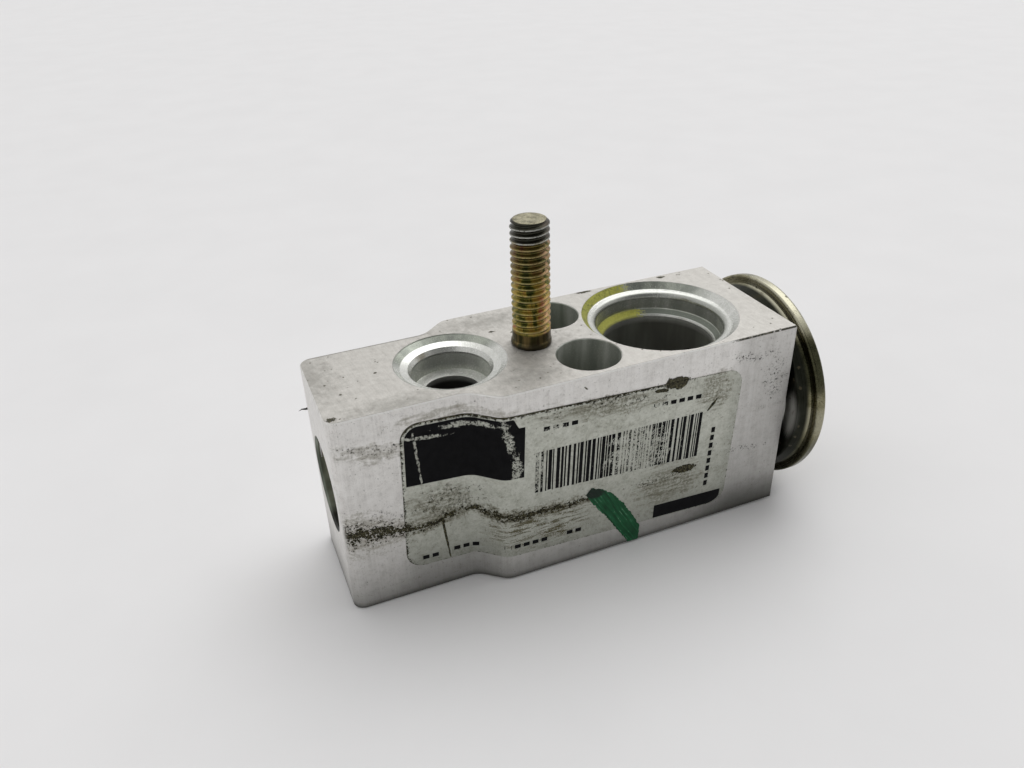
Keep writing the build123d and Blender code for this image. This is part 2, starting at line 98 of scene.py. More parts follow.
class Graph:
    """One procedural material, in object coordinates measured in millimetres."""

    def __init__(self, name):
        self.material = bpy.data.materials.new(name)
        self.material.use_nodes = True
        self.tree = self.material.node_tree
        self.tree.nodes.clear()
        coords = self.add("ShaderNodeTexCoord")
        scaled = self.add("ShaderNodeVectorMath", operation="SCALE")
        self.tree.links.new(coords.outputs["Object"], scaled.inputs[0])
        scaled.inputs["Scale"].default_value = 1 / MM
        self.p = Value(self, scaled.outputs[0])
        split = self.add("ShaderNodeSeparateXYZ")
        self.tree.links.new(scaled.outputs[0], split.inputs[0])
        self.x, self.y, self.z = (Value(self, socket) for socket in split.outputs)

    def add(self, kind, **settings):
        node = self.tree.nodes.new(kind)
        for key, value in settings.items():
            setattr(node, key, value)
        return node

    def put(self, value, socket):
        """Link a Value to a socket, or set a plain number or colour on it."""
        if isinstance(value, Value):
            self.tree.links.new(value.socket, socket)
        elif isinstance(value, (tuple, list)) and len(value) == 3 and socket.type == "RGBA":
            socket.default_value = (*value, 1)
        else:
            socket.default_value = value

    def math(self, operation, a, b=None, clamp=False):
        node = self.add("ShaderNodeMath", operation=operation, use_clamp=clamp)
        self.put(a, node.inputs[0])
        if b is not None:
            self.put(b, node.inputs[1])
        return Value(self, node.outputs[0])

    def smooth(self, value, low, high):
        """0 under low and 1 over high, eased between. low may be over high."""
        node = self.add("ShaderNodeMapRange", interpolation_type="SMOOTHSTEP")
        self.put(value, node.inputs["Value"])
        if low > high:
            node.inputs["From Min"].default_value = high
            node.inputs["From Max"].default_value = low
            node.inputs["To Min"].default_value = 1
            node.inputs["To Max"].default_value = 0
        else:
            node.inputs["From Min"].default_value = low
            node.inputs["From Max"].default_value = high
        return Value(self, node.outputs["Result"])

    def both(self, *masks):
        result = masks[0]
        for mask in masks[1:]:
            result = result * mask
        return result

    def either(self, *masks):
        result = masks[0]
        for mask in masks[1:]:
            result = self.math("MAXIMUM", result, mask)
        return result

    def vector(self, x, y, z):
        node = self.add("ShaderNodeCombineXYZ")
        for value, socket in zip((x, y, z), node.inputs):
            self.put(value, socket)
        return Value(self, node.outputs[0])

    def noise(self, scale, detail=2.0, rough=0.5, at=None, warp=0.0):
        node = self.add("ShaderNodeTexNoise")
        self.put(at or self.p, node.inputs["Vector"])
        node.inputs["Scale"].default_value = scale
        node.inputs["Detail"].default_value = detail
        node.inputs["Roughness"].default_value = rough
        node.inputs["Distortion"].default_value = warp
        return Value(self, node.outputs["Fac"])

    def cells(self, scale, at=None):
        """Distance from the nearest of scattered points."""
        node = self.add("ShaderNodeTexVoronoi")
        self.put(at or self.p, node.inputs["Vector"])
        node.inputs["Scale"].default_value = scale
        return Value(self, node.outputs["Distance"])

    def mix(self, factor, a, b):
        node = self.add("ShaderNodeMix", data_type="RGBA")
        self.put(factor, node.inputs[0])
        self.put(a, node.inputs[6])
        self.put(b, node.inputs[7])
        return Value(self, node.outputs[2])

    def ramp(self, factor, stops):
        node = self.add("ShaderNodeValToRGB")
        elements = node.color_ramp.elements
        while len(elements) < len(stops):
            elements.new(0.5)
        for element, (place, colour) in zip(elements, stops):
            element.position = place
            element.color = (*colour, 1)
        self.put(factor, node.inputs[0])
        return Value(self, node.outputs[0])

    def distance(self, *centre):
        """Distance from a point given as (x, y), (x, None, z) and so on."""
        parts = []
        for axis, place in zip((self.x, self.y, self.z), centre):
            if place is not None:
                offset = axis - place
                parts.append(offset * offset)
        total = parts[0]
        for part in parts[1:]:
            total = total + part
        return self.math("SQRT", total)

    def reach(self, centre, half, turn=(0, 0, 0)):
        """Distance from centre as a share of an ellipsoid's half sizes."""
        node = self.add("ShaderNodeMapping", vector_type="TEXTURE")
        self.put(self.p, node.inputs["Vector"])
        node.inputs["Location"].default_value = centre
        node.inputs["Rotation"].default_value = turn
        node.inputs["Scale"].default_value = half
        length = self.add("ShaderNodeVectorMath", operation="LENGTH")
        self.tree.links.new(node.outputs[0], length.inputs[0])
        return Value(self, length.outputs["Value"])

    def nearest(self, values):
        result = values[0]
        for value in values[1:]:
            result = self.math("MINIMUM", result, value)
        return result

    def curve(self, value, points):
        """Straight lines through (input, output) points, held flat past both ends."""
        places, heights = zip(*points)
        low, span = min(heights), max(heights) - min(heights)
        node = self.add("ShaderNodeFloatCurve")
        line = node.mapping.curves[0]
        while len(line.points) < len(points):
            line.points.new(0.5, 0.5)
        for point, place, height in zip(line.points, places, heights):
            share = (place - places[0]) / (places[-1] - places[0])
            point.location = (share, (height - low) / span)
            point.handle_type = "VECTOR"
        node.mapping.update()
        scaled = self.math("DIVIDE", value - places[0], places[-1] - places[0], clamp=True)
        self.put(scaled, node.inputs["Value"])
        return Value(self, node.outputs[0]) * span + low

    def finish(self, colour, metallic, roughness, height=None, bump=0.3, depth=0.05, **fixed):
        """Closes the graph with a Principled shader. height is in millimetres times depth."""
        shader = self.add("ShaderNodeBsdfPrincipled")
        self.put(colour, shader.inputs["Base Color"])
        self.put(metallic, shader.inputs["Metallic"])
        self.put(roughness, shader.inputs["Roughness"])
        for name, value in fixed.items():
            shader.inputs[name.replace("_", " ")].default_value = value
        if height is not None:
            node = self.add("ShaderNodeBump")
            node.inputs["Strength"].default_value = bump
            node.inputs["Distance"].default_value = depth * MM
            self.put(height, node.inputs["Height"])
            self.tree.links.new(node.outputs[0], shader.inputs["Normal"])
        output = self.add("ShaderNodeOutputMaterial")
        self.tree.links.new(shader.outputs[0], output.inputs[0])
        return self.material


# ------------------------------------------------------------------ marks shared by block and film
FAR = 1e4  # half size of a mark that runs right through, across the face it lies on


def flank_textures(g):
    """(cloud, speck, fine, clump) noises, the same on block, film and print, so dirt runs across them."""
    cloud = g.noise(0.8, 5, 0.62)
    speck = g.noise(2.6, 4, 0.7, warp=0.4)
    fine = g.noise(7.0, 3, 0.75)
    clump = g.noise(0.5, 3, 0.6, warp=0.5)
    return cloud, speck, fine, clump


def blots(g, spots, ragged):
    """1 inside and 0 outside the nearest (x, z, half x, half z, turn) ellipse.

    ragged is added to the distance and breaks the border.
    """
    reaches = [
        g.reach((x, 0, z), (half_x, FAR, half_z), (0, turn, 0)) for x, z, half_x, half_z, turn in spots
    ]
    return g.smooth(g.nearest(reaches) + ragged, 1.25, 0.6)


# course of the dirt line across the front flank: station, height, half width
GRIME_LINE = [
    (-34.3, -19.9, 2.5),
    (-31.5, -19.4, 2.3),
    (-28.5, -20.1, 1.9),
    (-25.6, -20.7, 1.3),
    (-22.0, -21.4, 0.6),
    (-19.2, -20.9, 0.8),
    (-16.8, -19.8, 0.8),
    (-14.6, -19.8, 0.6),
    (-11.5, -21.3, 0.95),
    (-7.0, -21.9, 0.75),
    (-1.4, -22.2, 0.6),
    (4.0, -22.0, 0.5),
]
DARK_BLOTS = [
    (18.1, -4.9, 2.2, 1.15, 0.16),
    (15.3, -5.6, 1.5, 0.35, 0.16),
    (20.6, -21.7, 2.3, 0.8, 0.16),
    (24.8, -10.8, 1.3, 0.28, -0.85),
    (-19.0, -24.0, 0.2, 4.2, -0.1),
    (2.75, -1.95, 0.42, 0.11, 0.8),
]
SPECK_FIELDS = [
    (-17.8, -17.4, 6.0, 3.4, 0.2),
    (-29.5, -19.4, 6.4, 3.6, 0.05),
    (-28.0, -5.6, 6.4, 1.5, 0.2),
    (6.5, -5.4, 11.0, 1.5, 0.1),
    (31.0, -3.6, 4.6, 1.0, 0.16),
    (32.4, -21.2, 6.2, 0.8, 0.1),
    (36.6, -8.0, 2.8, 6.5, 0.0),
    (16.0, -22.4, 6.4, 1.3, 0.1),
]
STAINS = [
    (-19.4, -18.0, 5.6, 4.2, 0.2),
    (-28.0, -6.0, 6.0, 1.7, 0.2),
    (17.8, -23.8, 6.4, 4.4, 0.05),
    (25.4, -8.0, 3.4, 3.8, 0.0),
    (6.0, -5.8, 11.0, 2.0, 0.1),
    (-17.0, -2.6, 9.0, 1.1, 0.05),
]
STREAKED = (-4.4, -24.6, 8.6, 3.9, 0.06)


# middle tone of the caked dirt, and the flanks' darkest painted shade, on metal and on film
METAL_DIRT, FILM_DIRT = (0.024, 0.021, 0.009), (0.022, 0.019, 0.008)
METAL_SHADE, FILM_SHADE = (0.02, 0.022, 0.014), (0.02, 0.024, 0.014)


def flank_grime(g, cloud, speck, fine, clump):
    """(dark specks, brown stain) masks on the front flank, alike on metal and film."""
    front = g.both(g.smooth(g.y, -8.6, -9.4), g.smooth(g.z, -0.05, -0.2))
    ragged = (cloud - 0.5) * 3.2 + (speck - 0.5) * 2.0
    course = g.curve(g.x, [(x, z) for x, z, _ in GRIME_LINE]) + (clump - 0.5) * 1.8
    width = g.curve(g.x, [(x, half) for x, _, half in GRIME_LINE])
    line = 1.15 - g.math("ABSOLUTE", g.z - course) / (width + 0.1)
    line = line + ragged * 0.7 - g.smooth(g.x, 4.0, 9.0) * 4

    solid = blots(g, DARK_BLOTS, ragged * 0.5) * 1.5
    sparse = blots(g, SPECK_FIELDS, ragged) * 0.36
    scatter = (speck - 0.5) * 3.0 + (fine - 0.5) * 1.6
    specks = g.smooth(g.either(line, solid, sparse, 0.0) + scatter, 0.55, 0.74)

    streaks = g.noise(1.0, 4, 0.65, at=g.vector(g.x * 0.22, g.y * 0.22, g.z * 1.7), warp=0.3)
    stained = g.either(blots(g, STAINS, ragged * 0.7) * 0.6, g.smooth(line, -1.2, 0.6) * 0.8)
    stain = g.smooth(stained + (streaks - 0.5) * 1.6 + (speck - 0.5) * 1.6, 0.12, 1.0)
    streaked = blots(g, [STREAKED], ragged * 0.5)
    streaked = g.both(streaked, g.smooth(streaks + (fine - 0.5) * 0.5, 0.48, 0.60))
    return specks * front, g.either(stain, streaked * 1.25) * front


def dirt_colour(g, speck, fine, middle):
    """Olive to black, as caked dirt is."""
    tones = [(0.45, (0.10, 0.092, 0.045)), (0.50, middle), (0.54, (0.004, 0.0035, 0.002))]
    return g.ramp(fine * 0.6 + speck * 0.4, tones)


# height on the flanks, and how light the painted shade leaves them there
FLANK_SHADE_FALL = [
    (BOTTOM_Z, 0.04),
    (-33.3, 0.26),
    (-32.6, 0.46),
    (-30.4, 0.60),
    (-26.0, 0.78),
    (-16.0, 0.94),
    (-2.0, 1.08),
]


def flank_painted_shade(g):
    """Painted shade: light near the top edge, darker towards the bottom edge, towards both ends' feet and
    near the head end's side, with painted light on the narrow end's face.
    """
    front = g.smooth(g.y, -12.9, -13.05)
    foot = g.both(g.smooth(g.x, 18.0, 29.0), g.smooth(g.z, -26.5, -32.5), front)
    left_span = g.both(g.smooth(g.x, -28.0, -23.0), g.smooth(g.x, -9.0, -14.0))
    left_foot = g.both(left_span, g.smooth(g.z, -24.0, -28.5))
    head_side = g.both(g.smooth(g.x, 26.5, 31.0), front)
    light = g.curve(g.z, FLANK_SHADE_FALL) * (1 - foot * 0.46) * (1 - left_foot * 0.22) * (1 - head_side * 0.26)
    # painted light: the narrow end's face a little lighter
    return light + g.smooth(g.x, -33.9, -34.03) * 0.1


def turned_lines(g, radius, pitch):
    """Height of the fine rings a cutter leaves round a port's axis."""
    phase = (radius + g.z * 0.8) * (2 * math.pi / pitch)
    return g.math("SINE", phase) * 0.5 + 0.5


# ------------------------------------------------------------------ block
TOP_SPOTS = [
    (-24.4, 1.1, 0.24, 0.2),
    (-33.0, -8.6, 0.7, 0.45),
    (-30.4, -2.8, 0.2, 0.16),
    (-17.5, -5.3, 0.2, 0.24),
    (-1.4, 4.3, 0.3, 0.2),
    (-4.4, 5.8, 0.5, 0.25),
    (30.2, 12.2, 0.7, 0.4),
    (15.2, 12.6, 1.3, 0.35),
]
TOP_SMUDGES = [
    (0.6, -2.2, 6.4, 5.6),
    (-33.2, 4.0, 3.4, 8.0),
    (-24.0, -8.6, 9.0, 2.4),
    (-4.0, -9.4, 6.0, 3.0),
    (-4.0, 9.4, 10.0, 2.6),
]


def flat_reach(g, spots):
    """Distance from the nearest (x, y, half x, half y) ellipse's middle, as a share of its size."""
    return g.nearest([g.reach((x, y, 0), (half_x, half_y, FAR)) for x, y, half_x, half_y in spots])


def block_zones(g):
    """Distances and masks that tell the block's faces, ports and bores apart."""
    top = g.smooth(g.z, -0.04, -0.01)
    faced = g.either(top, g.smooth(g.z, BOTTOM_Z + 0.04, BOTTOM_Z + 0.01))
    depth = g.nearest([g.z * -1, g.z - BOTTOM_Z])
    suction = g.distance(SUCTION_X, 0)
    inlet = g.distance(INLET_X, 0)
    outlet = g.distance(OUTLET_X, 0)
    upper_half = g.smooth(g.z, AXIS_Z - 0.5, AXIS_Z + 0.5)
    liquid = inlet + (outlet - inlet) * (1 - upper_half)
    bolt = g.nearest([g.distance(BOLT_X, BOLT_Y), g.distance(BOLT_X, -BOLT_Y)])
    in_bolt = g.smooth(bolt, BOLT_HOLE_R + 0.22, BOLT_HOLE_R + 0.17)
    in_suction = g.smooth(suction, SUCTION_RIM_R + 0.1, SUCTION_RIM_R + 0.05)
    in_liquid = g.smooth(liquid, LIQUID_RIM_R + 0.06, LIQUID_RIM_R)
    inner = g.both(g.either(in_suction, in_liquid, in_bolt), g.smooth(depth, 0.03, 0.06))
    end_bore = g.both(
        g.smooth(g.distance(None, 0, AXIS_Z), ADJUSTER_BORE_R + 0.65, ADJUSTER_BORE_R + 0.6),
        g.smooth(g.x, NARROW_END_X + 0.04, NARROW_END_X + 0.08),
    )
    return SimpleNamespace(
        top=top,
        faced=faced,
        depth=depth,
        suction=suction,
        liquid=liquid,
        in_bolt=in_bolt,
        machined=g.either(inner, end_bore),
    )


def face_marks(g, zones, cloud, speck):
    """(pits, smudge) masks of the pipe face."""
    pits = g.either(
        g.smooth(flat_reach(g, TOP_SPOTS) + (speck - 0.5) * 3.0, 1.2, 0.8),
        g.smooth(g.cells(0.62, at=g.vector(g.x, g.y, 0.0)) + (speck - 0.5) * 0.5, 0.10, 0.05),
    )
    smudge = flat_reach(g, TOP_SMUDGES) + (cloud - 0.5) * 2.4 + (speck - 0.5) * 2.4
    return g.both(pits, zones.top), g.both(zones.top, g.smooth(smudge, 1.5, -0.2))


def edge_marks(g, zones, speck):
    """(dirt, painted highlight) masks along the pipe face's edges."""
    front_lip = g.both(
        g.smooth(g.x + (speck - 0.5) * 6, 27.0, 29.0),
        g.smooth(g.y, -12.9, -13.02),
        g.smooth(speck, 0.38, 0.44),
    )
    back_lip = g.both(g.smooth(g.y, 9.2, BACK_EDGE_Y), g.smooth(g.x, -13.0, -16.0)) * 0.8
    lips = g.both(g.smooth(g.z, -0.36, -0.24), g.either(front_lip, back_lip))
    # painted highlight: a thin light line just under the top edge of the front flank
    near_top = g.smooth(g.z + (speck - 0.5) * 0.4, -0.26, -0.16)
    return lips, g.both(1 - zones.top, near_top, g.smooth(g.y, -9.4, -9.7))


def port_colour(g, zones, colour, cloud, grain):
    """(colour, socket, deep, streaks) of the machined ports, streaked down their walls by the cutter, with
    painted shade on the suction lip's roll, the socket walls, the bolt holes, the suction ledge and the deep
    bores, and painted light at the small socket's mouth.
    """
    suction, liquid, depth, machined = zones.suction, zones.liquid, zones.depth, zones.machined
    streaks = g.noise(1.0, 2, 0.6, at=g.vector(g.x * 0.36, g.y * 0.36, g.z * 0.05))
    bright = g.ramp(grain * 0.4 + cloud * 0.6, [(0.3, (0.52, 0.53, 0.50)), (0.7, (0.70, 0.70, 0.67))])
    colour = g.mix(machined, colour, bright)
    # painted shade on the inner roll of the suction port's lip
    lip_roll_shade = g.both(g.smooth(suction, 11.2, 10.4), g.smooth(suction, SUCTION_SOCKET_R - 0.1, SUCTION_SOCKET_R))
    colour = g.mix(g.both(machined, lip_roll_shade) * 0.6, colour, (0.24, 0.25, 0.22))

    socket = g.either(g.smooth(suction, 10.45, 10.25), g.smooth(liquid, 6.3, 6.0))
    socket = g.both(socket, g.smooth(depth, 1.7, 2.3))
    liquid_ledge = g.both(g.smooth(liquid, 5.85, 5.8), g.smooth(depth, 3.95, 4.15))
    suction_ledge = g.both(g.smooth(suction, 9.36, 9.3), g.smooth(suction, 8.9, 9.0))
    # painted shade tones of the socket walls and bolt holes, streaked by the cutter
    wall = g.ramp(
        streaks + (grain - 0.5) * 0.15,
        [(0.34, (0.24, 0.26, 0.225)), (0.52, (0.38, 0.40, 0.35)), (0.70, (0.66, 0.67, 0.62))],
    )
    # painted light on the socket walls, strongest at the small socket's mouth
    lit_socket = g.both(socket, g.either(g.smooth(liquid, 6.5, 6.3), 0.5)) * 0.7
    wall = g.mix(lit_socket, wall, (0.76, 0.78, 0.72))
    shadowed = g.either(socket * (1 - g.either(liquid_ledge, suction_ledge)), zones.in_bolt)
    colour = g.mix(g.both(machined, shadowed) * 0.9, colour, wall)

    # painted shade: the suction socket's ledge darkened
    ledge_shade = g.both(
        g.smooth(suction, 9.3, 9.4),
        g.smooth(suction, SUCTION_SOCKET_R - 0.05, SUCTION_SOCKET_R - 0.15),
        g.smooth(depth, 3.6, 3.9),
    )
    colour = g.mix(g.both(machined, ledge_shade) * 0.9, colour, (0.14, 0.155, 0.13))
    # painted shade: the deep bores nearly black, the suction bore a streaked dark grey
    deep = g.both(machined, g.smooth(depth, 5.0, 6.4), 1 - zones.in_bolt)
    suction_bore = g.ramp(streaks, [(0.36, (0.10, 0.10, 0.085)), (0.66, (0.17, 0.175, 0.15))])
    bore = g.mix(g.smooth(suction, 9.3, 9.2), (0.006, 0.006, 0.005), suction_bore)
    colour = g.mix(deep * 0.96, colour, bore)
    return colour, socket, deep, streaks


def dye_colour(g, zones, colour, streaks, speck, grain):
    """(colour, dye) of the ports' mouths: leak-test dye in one, painted shade on the suction port's lip and
    painted grey-green reflections on the back walls of both.
    """
    suction, machined = zones.suction, zones.machined
    away_x = (g.x - SUCTION_X) / suction
    away_y = g.y / suction
    ledge = g.both(g.smooth(suction, 10.3, 10.1), g.smooth(g.z, -3.5, -3.9))
    arc = g.smooth(away_y * 0.62 - away_x * 0.78 + ledge * 0.16 + (speck - 0.5) * 0.6, 0.52, 0.66)
    wall = g.smooth(suction, SUCTION_RIM_R + 0.01, SUCTION_RIM_R - 0.05)
    wall = g.both(g.smooth(suction, 11.5, 11.7), wall)
    dye = g.both(machined, arc, g.either(wall, ledge), g.smooth(g.z, -5.3, -4.9))
    yellow = g.ramp(
        speck * 0.6 + grain * 0.4,
        [(0.38, (0.06, 0.062, 0.006)), (0.5, (0.33, 0.335, 0.03)), (0.66, (0.50, 0.49, 0.10))],
    )
    yellow = g.mix(ledge * 0.4, yellow, (0.60, 0.59, 0.16))
    colour = g.mix(dye * 0.92, colour, yellow)

    # painted shade toning down the suction lip's brightness
    lip_shade = g.both(machined, g.smooth(suction, SUCTION_SOCKET_R, 10.4), g.smooth(suction, 11.7, 11.5))
    colour = g.mix(lip_shade * 0.22, colour, (0.30, 0.31, 0.28))
    # painted reflection: streaked grey-green on the back walls of both ports
    suction_back = g.both(wall, g.smooth(away_y, 0.1, 0.6)) * (1 - arc)
    small_back = g.both(
        g.smooth(zones.liquid, 7.5, 7.62),
        g.smooth(g.y, 1.0, 4.0),
        g.smooth(suction, 14.0, 16.0),
    )
    back_wall_reflection = g.both(machined, g.either(suction_back, small_back))
    reflection_tone = g.ramp(streaks, [(0.4, (0.13, 0.15, 0.12)), (0.6, (0.30, 0.33, 0.27))])
    return g.mix(back_wall_reflection * 0.75, colour, reflection_tone), dye


def block_material():
    """Extruded and milled aluminium, dirty on the front flank, with turned ports."""
    g = Graph("aluminium_block")
    zones = block_zones(g)
    top, machined = zones.top, zones.machined
    cloud, speck, grain, clump = flank_textures(g)
    die_lines = g.noise(1.0, 3, 0.7, at=g.vector(g.x * 3.4, g.y * 3.4, g.z * 0.05))
    mill_lines = g.noise(1.0, 3, 0.75, at=g.vector(g.x * 3.0 + g.y * 0.4, g.y * 0.18, g.z))
    side = g.ramp(
        die_lines * 0.22 + cloud * 0.42 + grain * 0.36,
        [(0.34, (0.60, 0.585, 0.56)), (0.5, (0.79, 0.775, 0.75)), (0.66, (0.88, 0.87, 0.85))],
    )
    face = g.ramp(
        mill_lines * 0.2 + cloud * 0.3 + grain * 0.5,
        [(0.36, (0.38, 0.365, 0.34)), (0.5, (0.52, 0.505, 0.475)), (0.64, (0.63, 0.615, 0.585))],
    )
    # painted shade on the flanks: darker towards the bottom edge and the feet
    colour = g.mix(1 - zones.faced, face, g.mix(flank_painted_shade(g), METAL_SHADE, side))

    pits, smudge = face_marks(g, zones, cloud, speck)
    pepper = g.smooth(speck * 0.5 + grain * 0.5, 0.56, 0.64)
    lips, edge_highlight = edge_marks(g, zones, speck)
    specks, stain = flank_grime(g, cloud, speck, grain, clump)
    colour = g.mix(smudge * 0.34, colour, (0.19, 0.185, 0.16))
    colour = g.mix(pepper * 0.4, colour, (0.16, 0.15, 0.13))
    # painted highlight along the flank's top edge
    colour = g.mix(edge_highlight * 0.6, colour, (0.90, 0.89, 0.87))
    colour = g.mix(stain * 0.55, colour, (0.20, 0.18, 0.115))
    dirt = dirt_colour(g, speck, grain, METAL_DIRT)
    colour = g.mix(g.either(specks * 0.97, pits * 0.9, lips * 0.95), colour, dirt)

    colour, socket, deep, streaks = port_colour(g, zones, colour, cloud, grain)
    colour, dye = dye_colour(g, zones, colour, streaks, speck, grain)

    dirty = g.either(specks, stain * 0.5, pits, lips, smudge * 0.4)
    plain_rough = 0.44 + cloud * 0.12 + grain * 0.1
    port_rough = 0.2 + grain * 0.12 + dye * 0.15 + deep * 0.2
    rough = plain_rough * (1 - machined) + port_rough * machined + dirty * 0.25
    hollow = g.both(machined, g.either(zones.in_bolt, deep, socket * 0.5))
    metallic = 0.9 - g.either(dirty * 0.85, dye * 0.6, hollow * 0.6)
    lines = die_lines + (mill_lines - die_lines) * top
    plain_height = lines * 0.3 + grain * 0.5 + cloud * 0.3 - pits * 1.4 + specks * 0.9
    rings = turned_lines(g, g.math("MINIMUM", zones.suction, zones.liquid + 30), 0.22)
    height = plain_height * (1 - machined) + (rings * 0.14 + grain * 0.05) * machined
    return g.finish(colour, metallic, rough, height, bump=0.55, depth=0.05, Specular_IOR_Level=0.08)


# ------------------------------------------------------------------ label film and its print
def label_place(g):
    """(u, v) of a point on the label, in millimetres from its middle."""
    cos_t, sin_t = math.cos(FILM_TILT), math.sin(FILM_TILT)
    dx, dz = g.x - FILM_CENTRE[0], g.z - FILM_CENTRE[1]
    return dx * cos_t + dz * sin_t, dz * cos_t - dx * sin_t


def film_colour(g, cloud, speck, fine):
    """Silvered film, clouded and peppered with fine dirt, darker towards the bottom by painted shade."""
    plain = g.ramp(
        cloud * 0.4 + fine * 0.3 + speck * 0.3,
        [
            (0.36, (0.66, 0.67, 0.61)),
            (0.5, (0.53, 0.54, 0.48)),
            (0.6, (0.39, 0.395, 0.34)),
            (0.68, (0.22, 0.22, 0.18)),
        ],
    )
    return g.mix(flank_painted_shade(g), FILM_SHADE, plain)


def film_material():
    """Silvered film, stained, with dirt gathered along its edges."""
    g = Graph("label_film")
    u, v = label_place(g)
    cloud, speck, fine, clump = flank_textures(g)
    over_u = g.math("MAXIMUM", g.math("ABSOLUTE", u) - (FILM_SIZE[0] / 2 - FILM_CORNER), 0.0)
    over_v = g.math("MAXIMUM", g.math("ABSOLUTE", v) - (FILM_SIZE[1] / 2 - FILM_CORNER), 0.0)
    from_edge = FILM_CORNER - g.math("SQRT", over_u * over_u + over_v * over_v)
    upper = g.smooth(v, 9.0, 12.0) * g.smooth(u, 24.0, 8.0)
    left = g.smooth(u, -25.4, -26.6)
    grip = g.either(upper * 0.5, left * 0.3) - 0.2 + (speck - 0.5) * 2.0 + (fine - 0.5) * 1.2
    edge = g.smooth(from_edge - grip, 0.12, -0.04)
    specks, stain = flank_grime(g, cloud, speck, fine, clump)
    dark = g.either(edge, specks)
    colour = g.mix(stain * 0.8, film_colour(g, cloud, speck, fine), (0.10, 0.09, 0.05))
    colour = g.mix(dark * 0.97, colour, dirt_colour(g, speck, fine, FILM_DIRT))
    metallic = 0.6 - g.either(dark, stain * 0.5) * 0.6
    rough = 0.34 + cloud * 0.12 + fine * 0.08 + dark * 0.2
    height = cloud * 0.6 + speck * 0.3 + fine * 0.2 + specks * 0.8
    return g.finish(colour, metallic, rough, height, bump=0.5, depth=0.06, Specular_IOR_Level=0.1)


# (x, z, half x, half z, turn) of the places where the ink is rubbed off
PRINT_WEAR = [
    (12.0, -15.4, 5.6, 5.2, 0.35),
    (-5.2, -14.0, 1.2, 4.6, 0.0),
    (-8.4, -12.6, 0.8, 3.0, 0.1),
    (-9.6, -7.0, 0.7, 4.0, -0.25),
    (-14.4, -4.8, 4.6, 0.5, 0.04),
    (-20.6, -5.6, 3.4, 0.35, 0.12),
    (-22.2, -8.8, 0.24, 5.4, -0.07),
    (13.6, -8.2, 3.0, 1.6, 0.0),
    (-2.0, -7.0, 1.6, 1.4, 0.0),
]


def print_material():
    """Dark ink of the label's panel and bars, worn through to the film in places."""
    g = Graph("label_print")
    cloud, speck, fine, _ = flank_textures(g)
    worn = blots(g, PRINT_WEAR, (cloud - 0.5) * 2.4)
    wear = g.smooth(worn * 0.60 + (speck - 0.5) * 2.6 + (fine - 0.5) * 2.0, 0.47, 0.58)
    wear = wear * g.smooth(worn, 0.02, 0.15)
    ink = g.ramp(cloud * 0.5 + fine * 0.5, [(0.35, (0.002, 0.002, 0.0025)), (0.7, (0.009, 0.009, 0.010))])
    colour = g.mix(wear, ink, film_colour(g, cloud, speck, fine))
    rough = 0.5 + fine * 0.16
    height = cloud * 0.6 + speck * 0.3 - wear * 0.5
    return g.finish(colour, wear * 0.5, rough, height, bump=0.5, depth=0.06, Specular_IOR_Level=0.07)


# ------------------------------------------------------------------ other materials
def stud_material():
    """Olive yellow zinc in green and brown patches, black at the tip, with painted highlights on the thread
    crests and a painted pink sheen on one side.
    """
    g = Graph("yellow_zinc_stud")
    radius = g.distance(0, 0)
    around = g.vector(g.x * 0.5, g.y * 0.5, g.z * 0.16)
    patch = g.noise(0.7, 4, 0.6, at=around, warp=0.8)
    tone = g.noise(1.3, 3, 0.6, at=g.vector(g.x * 0.6, g.y * 0.6, g.z * 0.5 + 40))
    fine = g.noise(6.0, 3, 0.7)
    colour = g.ramp(
        patch * 0.55 + tone * 0.3 + fine * 0.15,
        [
            (0.34, (0.025, 0.030, 0.012)),
            (0.44, (0.085, 0.092, 0.020)),
            (0.50, (0.34, 0.26, 0.06)),
            (0.56, (0.30, 0.17, 0.05)),
            (0.63, (0.30, 0.08, 0.05)),
        ],
    )
    aged = g.smooth(g.z + (patch - 0.5) * 6, 9.0, 14.0)
    colour = g.mix(aged * 0.68, colour, (0.035, 0.034, 0.016))
    # painted sheen: pink on the stud's right side
    pink_sheen = g.both(g.smooth(g.x * 0.86 - g.y * 0.5, 1.2, 2.6), g.smooth(tone, 0.40, 0.55))
    colour = g.mix(pink_sheen * 0.6, colour, (0.42, 0.24, 0.17))
    # painted highlight along the thread crests
    crest = g.both(g.smooth(radius, 2.82, 2.91), g.smooth(g.z, 2.5, 2.9), g.smooth(fine, 0.32, 0.5))
    colour = g.mix(crest * 0.6, colour, (0.50, 0.41, 0.20))
    bands = g.noise(1.0, 2, 0.6, at=g.vector(g.x * 0.7, g.y * 0.7, g.z * 0.04 + 7))
    banded = [(0.4, (0.02, 0.02, 0.010)), (0.52, (0.06, 0.053, 0.024)), (0.62, (0.20, 0.14, 0.06))]
    colour = g.mix(g.smooth(g.z, 2.6, 2.2) * 0.92, colour, g.ramp(bands, banded))
    tip = g.smooth(g.z + (patch - 0.5) * 2.6, 16.5, 17.2)
    # painted highlight on the crests at the black tip
    colour = g.mix(tip * 0.9, colour, g.mix(crest, (0.035, 0.037, 0.032), (0.42, 0.43, 0.41)))
    end = g.both(g.smooth(g.z, 19.66, 19.7), g.smooth(radius, 2.5, 2.4))
    sheared = g.ramp(fine * 0.6 + tone * 0.4, [(0.40, (0.10, 0.09, 0.05)), (0.56, (0.42, 0.39, 0.27))])
    colour = g.mix(end, colour, sheared)
    soot = g.both(g.smooth(g.z, 1.6, 0.2), g.smooth(tone, 0.36, 0.55))
    colour = g.mix(soot * 0.75, colour, (0.035, 0.03, 0.02))
    rough = 0.26 + fine * 0.2 + end * 0.15
    return g.finish(colour, 0.95 - end * 0.3, rough, fine * 0.5 + tone * 0.3, bump=0.4, depth=0.04)


